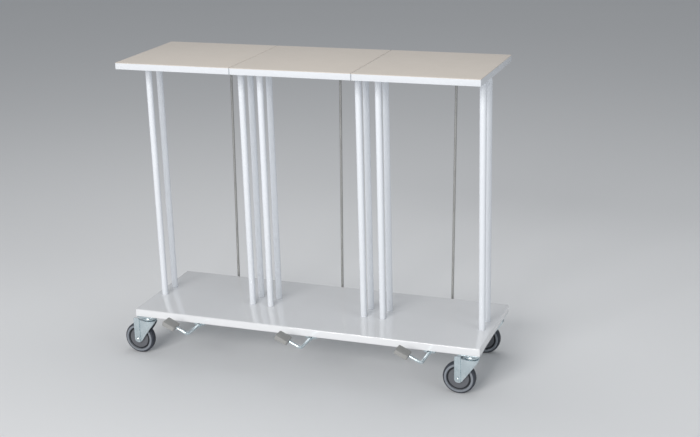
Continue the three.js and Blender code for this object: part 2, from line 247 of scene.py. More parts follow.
def copyOf(piece, name, shift):
    # Copies come before the first piece is fitted, so loops run from the last copy to the first
    pickPiece(piece)
    bpy.ops.object.duplicate(linked=False)
    bpy.ops.transform.translate(value=tuple(shift))
    return claim(name)


def thicken(piece, wall):
    applyModifier(piece, "SOLIDIFY", {"thickness": wall, "offset": -1, "use_even_offset": True})


def roundEdges(piece, width, segments=2, fromAngle=40):
    applyModifier(piece, "BEVEL", {
        "width": width, "segments": segments, "limit_method": "ANGLE",
        "angle_limit": math.radians(fromAngle), "use_clamp_overlap": True})


def smooth(piece, angle=32):
    pickPiece(piece)
    bpy.ops.object.shade_smooth_by_angle(angle=math.radians(angle))


def fit(piece, look, body, slot, *nodes):
    # The piece takes its material, rides on its body and stands for its CAD nodes
    piece.data.materials.clear()
    piece.data.materials.append(look)
    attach(piece, body)
    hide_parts(*nodes)


# Materials

class Wire:
    # Wraps a node's output, so that shader maths reads as an expression
    def __init__(self, look, socket):
        self.look = look
        self.socket = socket

    def maths(self, operation, first, second):
        return self.look.add("ShaderNodeMath", {"operation": operation}, {0: first, 1: second})

    def __add__(self, other):
        return self.maths("ADD", self, other)

    def __rsub__(self, other):
        return self.maths("SUBTRACT", other, self)

    def __mul__(self, other):
        return self.maths("MULTIPLY", self, other)

    __radd__ = __add__
    __rmul__ = __mul__


class Look:
    def __init__(self, name, **fixed):
        self.material = bpy.data.materials.new(name)
        self.material.use_nodes = True
        self.tree = self.material.node_tree
        self.shader = self.tree.nodes["Principled BSDF"]
        for socket, value in fixed.items():
            self.shader.inputs[socket.replace("_", " ")].default_value = value
        self.place = self.add("ShaderNodeTexCoord", {}, {}, "Object")

    def add(self, kind, settings, inputs, output=0):
        node = self.tree.nodes.new(kind)
        for key, value in settings.items():
            if key == "stops":
                for stop, (position, shade) in zip(node.color_ramp.elements, value):
                    stop.position = position
                    stop.color = (shade, shade, shade, 1)
            else:
                setattr(node, key, value)
        for socket, value in inputs.items():
            if isinstance(value, Wire):
                self.tree.links.new(value.socket, node.inputs[socket])
            else:
                node.inputs[socket].default_value = value
        return Wire(self, node.outputs[output])

    def noise(self, scale, detail=2.0, stretch=(1, 1, 1)):
        place = self.place
        if stretch != (1, 1, 1):
            place = self.add("ShaderNodeMapping", {}, {"Vector": place, "Scale": stretch})
        return self.add("ShaderNodeTexNoise", {}, {"Vector": place, "Scale": scale, "Detail": detail})

    def ramp(self, value, low, high):
        # 0 below low, 1 above high
        return self.add("ShaderNodeValToRGB", {"stops": ((low, 0), (high, 1))}, {0: value})

    def mixed(self, share, first, second):
        # Sockets 0, 6, 7 of a colour Mix are Factor, A and B, and its output 2 the colour
        return self.add("ShaderNodeMix", {"data_type": "RGBA"}, {0: share, 6: first, 7: second}, 2)

    def attribute(self, name):
        return self.add("ShaderNodeAttribute", {"attribute_name": name}, {}, "Fac")

    def drive(self, socket, wire):
        self.tree.links.new(wire.socket, self.shader.inputs[socket])

    def relief(self, height, depth, strength=1.0):
        bump = self.add("ShaderNodeBump", {}, {
            "Height": height, "Distance": depth, "Strength": strength}, "Normal")
        self.drive("Normal", bump)


def powderCoat(name, colour, shade, roughness, peel, gloss):
    # Sprayed powder: a fine orange peel and a faint drift of tone
    look = Look(name, Coat_Weight=gloss, Coat_Roughness=coatLook["roughness"],
                Coat_IOR=coatLook["ior"])
    drift = look.noise(9, 3)
    look.drive("Base Color", look.mixed(drift, colour, shade))
    look.drive("Roughness", look.noise(60, 2) * 0.08 + (roughness - 0.04))
    look.relief(look.noise(300, 2), peel, 0.5)
    return look.material


def lidCoat():
    # Greige satin on the faces that look up, white on the folded edges and underneath
    look = Look("lid_coat", Specular_IOR_Level=0.4)
    above = look.attribute("topSkin")
    greige = look.mixed(look.noise(14, 4), lidLook["greige"], lidLook["greigeShade"])
    grain = look.ramp(look.noise(900, 2), 0.35, 0.75)
    speckled = look.mixed(grain * 0.10, greige, lidLook["speck"])
    look.drive("Base Color", look.mixed(above, lidLook["edge"], speckled))
    look.drive("Roughness", above * 0.14 + look.noise(70, 2) * 0.08 + 0.26)
    look.relief(look.noise(700, 3), 0.00008, 0.6)
    return look.material


def zincPlate(name, bright, dull, roughness, spangle=60):
    # Blue zinc: soft mottling, a little wipe and haze
    look = Look(name, Metallic=zincLook["metallic"])
    mottle = look.noise(spangle, 4)
    haze = look.noise(28, 3)
    share = look.ramp(mottle * 0.6 + haze * 0.4, 0.35, 0.65)
    look.drive("Base Color", look.mixed(share, dull, bright))
    look.drive("Roughness", mottle * 0.12 + haze * 0.08 + (roughness - 0.10))
    look.relief(look.noise(600, 2), 0.00001, 0.5)
    return look.material


def drawnSteel():
    # Drawn bar: fine streaks along the rod and darker patches
    look = Look("drawn_steel", Metallic=rodLook["metallic"])
    streak = look.noise(900, 2, (1, 1, 0.02))
    patch = look.noise(16, 3)
    share = look.ramp(streak * 0.5 + patch * 0.5, 0.3, 0.7)
    look.drive("Base Color", look.mixed(share, rodLook["dark"], rodLook["light"]))
    look.drive("Roughness", streak * 0.2 + 0.34)
    look.relief(streak, 0.00004, 0.6)
    return look.material


def mouldedPlastic(name, colour, shade, roughness, grain, depth, paintedGrooveShade=None):
    look = Look(name, Specular_IOR_Level=0.4)
    face = look.mixed(look.noise(35, 3), colour, shade)
    if paintedGrooveShade:
        # The groove's shade is painted: the groove's vertices carry this attribute and take a dark colour
        face = look.mixed(look.attribute("paintedGrooveShade"), face, paintedGrooveShade)
    look.drive("Base Color", face)
    look.drive("Roughness", look.noise(90, 2) * 0.12 + (roughness - 0.06))
    look.relief(look.noise(grain, 3), depth, 0.8)
    return look.material


def tyreRubber():
    # Dark tread, lighter moulded ring on the side wall
    look = Look("tyre_rubber", Specular_IOR_Level=0.4)
    ring = look.ramp(look.attribute("sideRing"), 0.2, 0.8)
    dark = look.mixed(look.noise(45, 3), tyreLook["tread"], tyreLook["treadShade"])
    light = look.mixed(look.noise(45, 3), tyreLook["ring"], tyreLook["ringShade"])
    look.drive("Base Color", look.mixed(ring, dark, light))
    look.drive("Roughness", look.noise(160, 2) * 0.12 + (0.58 - ring * 0.12))
    look.relief(look.noise(1300, 3), 0.0001, 0.7)
    return look.material


lidLook = {
    "greige": (0.65, 0.595, 0.535, 1),
    "greigeShade": (0.61, 0.56, 0.50, 1),
    "speck": (0.50, 0.45, 0.40, 1),
    "edge": (0.76, 0.785, 0.82, 1),
}
coatLook = {"roughness": 0.03, "ior": 1.6}  # the clear gloss over the tray
zincLook = {"metallic": 0.85}
rodLook = {"metallic": 0.75, "dark": (0.34, 0.34, 0.33, 1), "light": (0.47, 0.47, 0.455, 1)}
tyreLook = {
    "tread": (0.040, 0.046, 0.060, 1),
    "treadShade": (0.052, 0.058, 0.072, 1),
    "ring": (0.22, 0.24, 0.27, 1),
    "ringShade": (0.26, 0.28, 0.31, 1),
}
trayCoat = powderCoat("tray_coat", (0.84, 0.85, 0.865, 1), (0.82, 0.83, 0.845, 1), 0.12, 0.000003, 1.0)
tubeCoat = powderCoat("tube_coat", (0.84, 0.87, 0.91, 1), (0.82, 0.85, 0.89, 1), 0.25, 0.000012, 0.0)
lidFinish = lidCoat()
# A lighter copy of the same blue zinc as zinc_dull: painted light, lifting the zinc parts that sit in shade
# under the tray
zincPaintedLighter = zincPlate("zinc_painted_lighter", (0.72, 0.80, 0.83, 1), (0.58, 0.67, 0.71, 1), 0.23)
zincDull = zincPlate("zinc_dull", (0.62, 0.70, 0.72, 1), (0.46, 0.54, 0.57, 1), 0.36)
steelFinish = drawnSteel()
padPlastic = mouldedPlastic(
    "pad_plastic", (0.35, 0.35, 0.34, 1), (0.32, 0.32, 0.31, 1), 0.5, 1100, 0.00012)
# The hub's groove is painted near black, as painted shade
hubPlastic = mouldedPlastic(
    "hub_plastic", (0.145, 0.15, 0.165, 1), (0.125, 0.13, 0.145, 1), 0.42, 800, 0.00006,
    paintedGrooveShade=(0.028, 0.031, 0.037, 1))
tyreFinish = tyreRubber()
print("materials made")


# Tray: a folded pan, open below, with a return flange all round

traySpec = {
    "sheet": 0.002,
    "foldRadius": 0.0035,
    "foldSteps": 5,
    "sideFlange": 0.020,
    "endFlange": 0.066,
}


def makeTray():
    low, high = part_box("deck_tray")
    tray = newBlock("tray_shell", low, high)
    beginEdit(tray)
    corners = [vert.co.copy() for vert in bmesh.from_edit_mesh(tray.data).verts]
    select(tray, "FACE", lambda face: face.normal.z < -0.9)
    bpy.ops.mesh.inset(thickness=traySpec["sideFlange"])
    for end, inwards in ((low.x, 1), (high.x, -1)):
        inner = end + inwards * traySpec["sideFlange"]
        select(tray, "VERT", lambda vert: abs(vert.co.x - inner) < tiny)
        moveBy((inwards * (traySpec["endFlange"] - traySpec["sideFlange"]), 0, 0))
    mouth = low.x + traySpec["endFlange"] - tiny
    select(tray, "FACE", lambda face: face.normal.z < -0.9 and all(
        vert.co.x > mouth for vert in face.verts) and face.calc_area() > 0.1)
    bpy.ops.mesh.delete(type="FACE")
    select(tray, "EDGE", lambda edge: all(
        min((vert.co - corner).length for corner in corners) < tiny for vert in edge.verts))
    bpy.ops.mesh.bevel(offset=traySpec["foldRadius"], segments=traySpec["foldSteps"])
    bpy.ops.object.mode_set(mode="OBJECT")
    thicken(tray, traySpec["sheet"])
    roundEdges(tray, softEdge, 2, 60)
    smooth(tray)
    fit(tray, trayCoat, "frame", "white_powder_coat", "deck_tray")


# Hoops and bag rings

tubeSpec = {
    "radius": 0.010,
    "wall": 0.0015,
    "spread": 0.068,  # between the two legs of one hoop
    "sides": 32,
    "bendSteps": 12,
}
ringSpec = {"radius": 0.005, "cornerRadius": 0.040, "sides": 20, "bendSteps": 10}
lidSheet = 0.0015
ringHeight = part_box("lid_1")[1].z - lidSheet - gap - ringSpec["radius"]
hoopCrown = ringHeight - ringSpec["radius"] - gap - tubeSpec["radius"]


def middleOf(node):
    low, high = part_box(node)
    return (low + high) / 2


def makeHoop():
    # The first hoop. The others are copies of it
    middle = middleOf("hoop_left_1")
    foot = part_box("deck_tray")[1].z + gap
    front = middle.y - tubeSpec["spread"] / 2
    rear = middle.y + tubeSpec["spread"] / 2
    hoop = bentBar("hoop_tube_left_1", [
        (middle.x, front, foot),
        (middle.x, front, hoopCrown),
        (middle.x, rear, hoopCrown),
        (middle.x, rear, foot),
    ], tubeSpec["radius"], tubeSpec["spread"] / 2 - tiny, tubeSpec["sides"], tubeSpec["bendSteps"],
        capped=False)
    thicken(hoop, tubeSpec["wall"])
    roundEdges(hoop, softEdge, 2, 60)
    smooth(hoop)
    return hoop, middle


def makeHoops():
    first, origin = makeHoop()
    for cell in reversed(cells):
        for side in ("right", "left"):
            node = f"hoop_{side}_{cell}"
            shift = middleOf(node) - origin
            hoop = first if shift.length < tiny else copyOf(
                first, f"hoop_tube_{side}_{cell}", (shift.x, 0, 0))
            fit(hoop, tubeCoat, "frame", "white_powder_coat", node)


def makeRings():
    low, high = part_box("bag_ring_1")
    left, right = middleOf("hoop_left_1").x, middleOf("hoop_right_1").x
    front, rear = low.y + ringSpec["radius"], high.y - ringSpec["radius"]
    first = bentBar("bag_ring_bar_1", [
        (left, front, ringHeight),
        (right, front, ringHeight),
        (right, rear, ringHeight),
        (left, rear, ringHeight),
    ], ringSpec["radius"], ringSpec["cornerRadius"], ringSpec["sides"], ringSpec["bendSteps"],
        closed=True)
    smooth(first)
    for cell in reversed(cells):
        shift = middleOf(f"hoop_left_{cell}").x - left
        ring = copyOf(first, f"bag_ring_bar_{cell}", (shift, 0, 0)) if cell > 1 else first
        fit(ring, tubeCoat, "frame", "white_powder_coat", f"bag_ring_{cell}")


# Lids: folded pans, open below

lidSpec = {"foldRadius": 0.0022, "foldSteps": 4, "topTilt": 0.3}


def tagTop(piece):
    # Marks the faces that look up, for the lid's two colours
    mark = piece.data.attributes.new("topSkin", "FLOAT", "POINT")
    for face in piece.data.polygons:
        if face.normal.z > lidSpec["topTilt"]:
            for index in face.vertices:
                mark.data[index].value = 1.0


def makeLids():
    low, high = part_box("lid_1")
    first = newBlock("lid_pan_1", low, high)
    beginEdit(first)
    select(first, "FACE", lambda face: face.normal.z < -0.9)
    bpy.ops.mesh.delete(type="FACE")
    select(first, "EDGE", lambda edge: not edge.is_boundary)
    bpy.ops.mesh.bevel(offset=lidSpec["foldRadius"], segments=lidSpec["foldSteps"])
    bpy.ops.object.mode_set(mode="OBJECT")
    thicken(first, lidSheet)
    roundEdges(first, 0.0003, 2, 60)
    tagTop(first)
    smooth(first)
    for cell in reversed(cells):
        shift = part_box(f"lid_{cell}")[0].x - low.x
        lid = copyOf(first, f"lid_pan_{cell}", (shift, 0, 0)) if cell > 1 else first
        fit(lid, lidFinish, f"lid_{cell}_body", "lid_powder_coat", f"lid_{cell}")


# Hinges: two ears on a bridge under the ring, a headed pin, and the lid's tail.
# The shapes are drawn round the hinge's axis, so their numbers are distances from it.

hingeSpec = {
    "earInner": 0.005,
    "earThick": 0.003,
    "pinRadius": 0.003,
    "knuckleRadius": 0.007,
    "tailPlate": 0.004,
    "tailReach": 0.014,
    "tailAngle": math.radians(38),
    "eyeRadius": 0.009,
    "eyeBore": 0.0058,
}


def hingeAxis(cell):
    return Vector(joints[f"lid_{cell}_hinge"]["pos_m"])


def tailEye(cell):
    reach, angle = hingeSpec["tailReach"], hingeSpec["tailAngle"]
    return hingeAxis(cell) + Vector((0, reach * math.cos(angle), reach * math.sin(angle)))


def makeBracket(axis):
    inner, thick = hingeSpec["earInner"], hingeSpec["earThick"]
    under = ringHeight - ringSpec["radius"] - gap - axis.z
    ear = [
        (-0.035, under), (-0.018, under), (-0.009, 0.0072, 0.004),
        (0.007, 0.007, 0.007), (0.007, -0.007, 0.007), (-0.013, -0.007, 0.003),
    ]
    bracket = newBlock("hinge_ears_1",
                       axis + Vector((-inner - thick, -0.035, under - 0.003)),
                       axis + Vector((inner + thick, -0.018, under)))
    for x in (-inner - thick, inner):
        combine(bracket, plate("ear", ear, axis + alongX * x, alongY, alongZ, thick))
    bore(bracket, axis, alongX, hingeSpec["pinRadius"] + gap, through)
    roundEdges(bracket, softEdge, 2, 50)
    smooth(bracket)
    return bracket


def makePin(axis):
    half = hingeSpec["earInner"] + hingeSpec["earThick"] + 0.002
    radius = hingeSpec["pinRadius"]
    pin = turned("hinge_rivet_1", [
        (0, -half), (radius - 0.0007, -half), (radius, -half + 0.0007), (radius, half - 0.0015),
        (radius + 0.0019, half - 0.0015), (radius + 0.002, half - 0.0009),
        (radius + 0.0008, half - 0.0001), (0, half),
    ], axis, alongX, 28)
    smooth(pin)
    return pin


def makeTail(axis, eye):
    half = hingeSpec["tailPlate"] / 2
    flat = 2 * half
    reach = eye - axis
    tail = plate("lid_tail_plate_1", [
        (-0.0138, 0.0276, 0.002), (-0.0138, 0.0004, 0.004), (-0.0014, 0.0004), (-0.0014, 0.0276),
    ], axis - alongX * half, alongY, alongZ, flat)
    along, over = reach.normalized(), alongX.cross(reach).normalized()
    combine(tail, plate("link", [
        (-0.006, -0.006, 0.006), (reach.length, -0.006), (reach.length, 0.006), (-0.006, 0.006, 0.006),
    ], axis - alongX * (half - 0.0001), along, over, flat - 0.0002))
    for centre, radius, width in (
        (axis, hingeSpec["knuckleRadius"], 0.0088), (eye, hingeSpec["eyeRadius"], flat + 0.0006),
    ):
        combine(tail, turned("boss", [
            (0, -width / 2), (radius, -width / 2), (radius, width / 2), (0, width / 2),
        ], centre, alongX, 36))
    combine(tail, plate("foot", [
        (-0.014, 0.013, 0.003), (0.014, 0.013, 0.003), (0.014, 0.028, 0.003), (-0.014, 0.028, 0.003),
    ], axis + alongY * -0.0008, alongX, alongZ, 0.003))
    bore(tail, axis, alongX, hingeSpec["pinRadius"] + gap, through)
    bore(tail, eye, alongX, hingeSpec["eyeBore"], through)
    roundEdges(tail, softEdge, 2, 50)
    smooth(tail)
    return tail


def makeHinges():
    axis = hingeAxis(1)
    firsts = {
        "ears": makeBracket(axis),
        "rivet": makePin(axis),
        "tail": makeTail(axis, tailEye(1)),
    }
    for cell in reversed(cells):
        shift = hingeAxis(cell) - axis
        for part, name, node, body, look, slot in (
            ("ears", "hinge_ears", "hinge_bracket", "frame", tubeCoat, "white_powder_coat"),
            ("rivet", "hinge_rivet", "hinge_pin", "frame", zincPaintedLighter, "zinc_plate"),
            ("tail", "lid_tail_plate", "lid_tail", f"lid_{cell}_body", zincPaintedLighter, "zinc_plate"),
        ):
            first = firsts[part]
            piece = copyOf(first, f"{name}_{cell}", shift) if cell > 1 else first
            fit(piece, look, body, slot, f"{node}_{cell}")


# Pull rods, pedal shafts, cranks and pads

linkSpec = {
    "rodRadius": 0.004,
    "rodBend": 0.008,
    "rodBehindHinge": 0.0125,
    "shaftRadius": 0.005,
    "shaftBend": 0.009,
    "crankReach": 0.0334,
    "crankAngle": math.radians(15),
    "crankThick": 0.004,
    "crankEnd": 0.009,
    "eyePlay": 0.0012,  # the rod's foot slides in the crank's eye
    "rodOffset": 0.00055,  # the rod's foot stands this far off the eye's middle
    "armReach": 0.080,
    "armAngle": math.radians(24.5),
}
padSpec = {
    "along": 0.042,
    "across": 0.041,
    "thick": 0.014,
    "tipWall": 0.003,
    "cornerRadius": 0.005,
    "rimRadius": 0.0022,
    "crown": 0.0004,
    "crownInset": 0.0022,
    "entryPlay": 0.0012,
    "entryDepth": 0.004,
}


def shaftAxis(cell):
    return Vector(joints[f"pedal_{cell}_pivot"]["pos_m"])


def crankEye(cell):
    reach, angle = linkSpec["crankReach"], linkSpec["crankAngle"]
    return shaftAxis(cell) + Vector((-reach * math.cos(angle), 0, reach * math.sin(angle)))


def makeRod():
    eye, crank, hinge = tailEye(1), crankEye(1), hingeAxis(1)
    half, bend = hingeSpec["tailPlate"] / 2, linkSpec["rodBend"]
    y = hinge.y + linkSpec["rodBehindHinge"]
    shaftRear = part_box("pedal_shaft_1")[1].y
    bottom = crank.x - linkSpec["rodOffset"]
    rod = bentBar("pull_rod_bar_1", [
        (hinge.x + half + 0.004, y, eye.z),
        (hinge.x - half - 0.0008 - bend, y, eye.z),
        (bottom, y, crank.z),
        (bottom, shaftRear + 0.001, crank.z),
    ], linkSpec["rodRadius"], bend, 22, 8)
    roundEdges(rod, 0.0006, 2, 60)
    smooth(rod)
    return rod


def makeShaft():
    axis = shaftAxis(1)
    reach, angle = linkSpec["armReach"], linkSpec["armAngle"]
    shaft = bentBar("pedal_bar_1", [
        (axis.x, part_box("pedal_shaft_1")[1].y, axis.z),
        axis,
        axis + Vector((-reach * math.cos(angle), 0, reach * math.sin(angle))),
    ], linkSpec["shaftRadius"], linkSpec["shaftBend"], 28, 12)
    roundEdges(shaft, 0.0007, 2, 60)
    smooth(shaft)
    return shaft


def makeCrank():
    axis, eye = shaftAxis(1), crankEye(1)
    axis.y = eye.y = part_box("crank_lever_1")[1].y
    end, reach = linkSpec["crankEnd"], (eye - axis).length
    along = (eye - axis).normalized()
    over = along.cross(alongY)
    crank = plate("crank_plate_1", [
        (-end, -end, end), (reach + end, -end, end), (reach + end, end, end), (-end, end, end),
    ], axis, along, over, linkSpec["crankThick"])
    bore(crank, axis, alongY, linkSpec["shaftRadius"] + gap, through)
    bore(crank, eye, alongY, linkSpec["rodRadius"] + linkSpec["eyePlay"], through)
    roundEdges(crank, softEdge, 2, 50)
    smooth(crank)
    return crank


def makePad():
    # Modelled flat at the origin, then turned to the arm's angle and set on it
    along, across, thick = padSpec["along"], padSpec["across"], padSpec["thick"]
    size = Vector((along, across, thick))
    pad = newBlock("pedal_cap_1", size / -2, size / 2)
    beginEdit(pad)
    select(pad, "EDGE", lambda edge: abs((edge.verts[0].co - edge.verts[1].co).z) > thick / 2)
    bpy.ops.mesh.bevel(offset=padSpec["cornerRadius"], segments=6)
    select(pad, "EDGE", lambda edge: abs((edge.verts[0].co - edge.verts[1].co).z) < tiny)
    bpy.ops.mesh.bevel(offset=padSpec["rimRadius"], segments=5)
    select(pad, "FACE", lambda face: face.normal.z > 0.99)
    bpy.ops.mesh.inset(thickness=padSpec["crownInset"])
    moveBy((0, 0, padSpec["crown"]))
    bpy.ops.object.mode_set(mode="OBJECT")
    depth = along - padSpec["tipWall"]
    bore(pad, ((along - depth) / 2 + tiny, 0, 0), alongX, linkSpec["shaftRadius"] + gap, depth)
    bore(pad, (along / 2, 0, 0), alongX, linkSpec["shaftRadius"] + padSpec["entryPlay"],
         padSpec["entryDepth"])
    reach, angle = linkSpec["armReach"], linkSpec["armAngle"]
    centre = reach + gap + padSpec["tipWall"] - along / 2
    place = shaftAxis(1) + Vector((-centre * math.cos(angle), 0, centre * math.sin(angle)))
    pad.matrix_world = Matrix.Translation(place) @ Matrix.Rotation(angle, 4, "Y")
    pickPiece(pad)
    bpy.ops.object.transform_apply(location=True, rotation=True, scale=True)
    smooth(pad, 28)
    return pad


def makeLinkage():
    firsts = {"rod": makeRod(), "shaft": makeShaft(), "crank": makeCrank(), "pad": makePad()}
    for cell in reversed(cells):
        shift = shaftAxis(cell) - shaftAxis(1)
        for part, name, node, body, look, slot in (
            ("rod", "pull_rod_bar", "pull_rod", "rod", steelFinish, "rod_steel"),
            ("shaft", "pedal_bar", "pedal_shaft", "pedal", zincPaintedLighter, "zinc_plate"),
            ("crank", "crank_plate", "crank_lever", "pedal", zincDull, "zinc_plate"),
            ("pad", "pedal_cap", "pedal_pad", "pedal", padPlastic, "pad_plastic"),
        ):
            first = firsts[part]
            piece = copyOf(first, f"{name}_{cell}", shift) if cell > 1 else first
            fit(piece, look, f"{body}_{cell}_body", slot, f"{node}_{cell}")


# Shaft clamps: a strap round the shaft, two ears and their screws

clampSpec = {"strap": 0.0025, "ear": 0.019, "screwRadius": 0.0052, "screwHeight": 0.0060,
             "recess": (0.0030, 0.0006)}


def makeScrew():
    # Pan head with a cross recess, modelled hanging below the origin
    radius, height = clampSpec["screwRadius"], clampSpec["screwHeight"]
    screw = turned("screw", [
        (0, 0.0004), (radius, 0.0004), (radius, -height * 0.45), (radius * 0.86, -height * 0.8),
        (radius * 0.55, -height), (0, -height),
    ], (0, 0, 0), alongZ, 28)
    long, short = clampSpec["recess"]
    cross = [
        (long, -short), (long, short), (short, short), (short, long), (-short, long),
        (-short, short), (-long, short), (-long, -short), (-short, -short), (-short, -long),
        (short, -long), (short, -short),
    ]
    combine(screw, plate("cross", cross, (0, 0, -height - 0.001), alongX, alongY, 0.0022), "DIFFERENCE")
    roundEdges(screw, 0.0002, 1, 45)
    return screw


def makeClamp():
    low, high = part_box("front_clamp_1")
    axis = shaftAxis(1)
    top = high.z - axis.z
    earBottom = top - clampSpec["strap"]
    inner = linkSpec["shaftRadius"] + gap
    outer = inner + clampSpec["strap"]
    ear = clampSpec["ear"]
    depth = high.y - low.y
    clamp = plate("front_strap_1", [
        (-ear, top), (-inner, top), (-inner, -inner, inner), (inner, -inner, inner),
        (inner, top), (ear, top), (ear, earBottom), (outer, earBottom, 0.0012),
        (outer, -outer, outer), (-outer, -outer, outer), (-outer, earBottom, 0.0012),
        (-ear, earBottom),
    ], (axis.x, high.y, axis.z), alongX, alongZ, depth, 10)
    beginEdit(clamp)
    select(clamp, "EDGE", lambda edge: all(
        abs(abs(vert.co.x - axis.x) - ear) < tiny for vert in edge.verts)
        and abs(edge.verts[0].co.z - edge.verts[1].co.z) > tiny)
    bpy.ops.mesh.bevel(offset=0.004, segments=5)
    bpy.ops.object.mode_set(mode="OBJECT")
    roundEdges(clamp, softEdge, 2, 50)
    screw = makeScrew()
    below = Vector((axis.x, (low.y + high.y) / 2, axis.z + earBottom))
    other = copyOf(screw, "other_screw", below - alongX * (outer + ear) / 2)
    screw.data.transform(Matrix.Translation(below + alongX * (outer + ear) / 2))
    joinPieces(clamp, [screw, other])
    smooth(clamp)
    return clamp


def makeClamps():
    first = makeClamp()
    origin = middleOf("front_clamp_1")
    for cell in reversed(cells):
        for end in ("rear", "front"):
            node = f"{end}_clamp_{cell}"
            shift = middleOf(node) - origin
            clamp = first if shift.length < tiny else copyOf(first, f"{end}_strap_{cell}", shift)
            fit(clamp, zincPaintedLighter, "frame", "zinc_plate", node)


# Casters: plate and ball race, pressed fork, bolt, wheel and tyre

casterSpec = {
    "plate": 0.030,  # half the plate's side
    "plateThick": 0.003,
    "plateCorner": 0.006,
    "trail": 0.037,
    "sheet": 0.0025,
    "cheek": 0.0195,  # from the middle to the fork's outer face
    "foot": 0.011,
    "legBottom": 0.030,
    "legHeight": 0.1,
    "crease": 0.0032,  # the cheeks step in this far behind the leading strips
    "creaseSheet": 0.0013,  # thinner there, clear of the wheel
    "maskDepth": 0.030,
    "crownDrop": 0.005,  # the crown and the cheeks' tops lie this far under the CAD top
    "hornTop": 0.0042,  # the leading strips rise this far above the CAD top
    "wheelRadius": 0.050,
    "rim": 0.037,
    "axleRadius": 0.004,
    "axleCutter": 0.08,  # long enough to go through both cheeks
    "halfWheel": 0.014,
    "rivetReach": 0.0225,
    "rivetRadius": 0.0042,
    "nutRadius": 0.0066,
    "nutHeight": 0.0036,
}
axlePlace = (-casterSpec["trail"], 0, casterSpec["wheelRadius"])


def makeHead():
    # Modelled round the swivel axis at the origin
    low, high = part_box("caster_head_front_left")
    half = casterSpec["plate"]
    under = high.z - casterSpec["plateThick"]
    bottom = low.z - casterSpec["crownDrop"]
    head = newBlock("swivel_head_front_left", (-half, -half, under), (half, half, high.z))
    beginEdit(head)
    select(head, "EDGE", lambda edge: abs((edge.verts[0].co - edge.verts[1].co).z) > tiny)
    bpy.ops.mesh.bevel(offset=casterSpec["plateCorner"], segments=6)
    bpy.ops.object.mode_set(mode="OBJECT")
    roundEdges(head, 0.0006, 2, 60)
    race = turned("race", [
        (0, under + 0.001), (0.0175, under + 0.001), (0.0185, under - 0.0006),
        (0.0205, under - 0.0012), (0.0222, under - 0.0026), (0.0226, under - 0.0044),
        (0.0218, under - 0.0058), (0.0200, under - 0.0062), (0.0200, under - 0.0070),
        (0.0214, under - 0.0074), (0.0222, under - 0.0092), (0.0222, under - 0.0112),
        (0.0212, under - 0.0130), (0.0190, bottom + 0.0008), (0.0170, bottom), (0, bottom),
    ], (0, 0, 0), alongZ, 48)
    reach, radius = casterSpec["rivetReach"], casterSpec["rivetRadius"]
    rivets = [turned("rivet", [
        (0, 0.0006), (radius, 0.0006), (radius, -0.0002), (0.0030, -0.0008), (0, -0.0010),
    ], (x * reach, y * reach, under), alongZ, 20) for x in (-1, 1) for y in (-1, 1)]
    joinPieces(head, [race, *rivets])
    smooth(head, 38)
    return head


def makeFork():
    # One cheek drawn in plan and raised, cut to its outline, mirrored and roofed by the crown
    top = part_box("caster_fork_front_left")[1].z
    trail, sheet, drop = casterSpec["trail"], casterSpec["sheet"], casterSpec["crownDrop"]
    cheek, foot, wheelRadius = casterSpec["cheek"], casterSpec["foot"], casterSpec["wheelRadius"]
    step, thin = casterSpec["crease"], casterSpec["creaseSheet"]
    lead = -trail - foot
    plan = [  # along, out, thickness
        (lead, cheek, sheet), (lead + 0.0188, cheek, sheet), (lead + 0.0200, cheek - step, thin),
        (-0.022, cheek - step + 0.0003, thin), (-0.012, cheek - 0.0004, sheet),
        (-0.002, cheek + 0.0012, sheet), (0.006, cheek + 0.0006, sheet),
        (0.013, cheek - 0.0020, sheet), (0.018, cheek - 0.0054, sheet),
        (0.022, cheek - 0.0105, sheet),
    ]
    parts = []
    for side in (-1, 1):
        wall = [(x, side * y) for x, y, _ in plan]
        back = [(x, side * (y - thick)) for x, y, thick in reversed(plan)]
        slab = plate("cheek", wall + back, (0, 0, casterSpec["legBottom"]), alongX, alongY,
                     casterSpec["legHeight"])
        outline = [
            (lead, top + casterSpec["hornTop"], 0.005), (lead, wheelRadius - foot, foot - tiny),
            (lead + 1.85 * foot, wheelRadius - foot, foot * 0.9), (0.008, top - 0.030, 0.06),
            (0.0225, top - 0.010, 0.006), (0.0225, top - drop, 0.0016),
            (lead + 0.0205, top - drop, 0.003), (lead + 0.0205, top + casterSpec["hornTop"], 0.006),
        ]
        # The mask runs from here towards -Y and keeps just clear of the middle
        depth, clear = casterSpec["maskDepth"], 0.0005
        maskStart = depth + clear if side > 0 else -clear
        mask = plate("mask", outline, (0, maskStart, 0), alongX, alongZ, depth, 10)
        combine(slab, mask, "INTERSECT")
        parts.append(slab)
    crown = plate("crown", [
        (lead + 0.0215, cheek - step - 0.0004), (-0.012, cheek - 0.0012), (-0.002, cheek + 0.0004),
        (0.006, cheek - 0.0002), (0.013, cheek - 0.0028), (0.018, cheek - 0.0060),
        (0.0225, 0.006, 0.002), (0.0225, -0.006, 0.002),
        (0.018, 0.0060 - cheek), (0.013, 0.0028 - cheek), (0.006, 0.0002 - cheek),
        (-0.002, -0.0004 - cheek), (-0.012, 0.0012 - cheek), (lead + 0.0215, step + 0.0004 - cheek),
    ], (0, 0, top - drop - sheet), alongX, alongY, sheet)
    fork = parts[0]
    combine(fork, parts[1])
    combine(fork, crown)
    bore(fork, (-trail, 0, wheelRadius), alongY, casterSpec["axleRadius"] + gap,
         casterSpec["axleCutter"])
    fork.name = "fork_pressing_front_left"
    roundEdges(fork, 0.0007, 3, 55)
    smooth(fork, 30)
    return fork


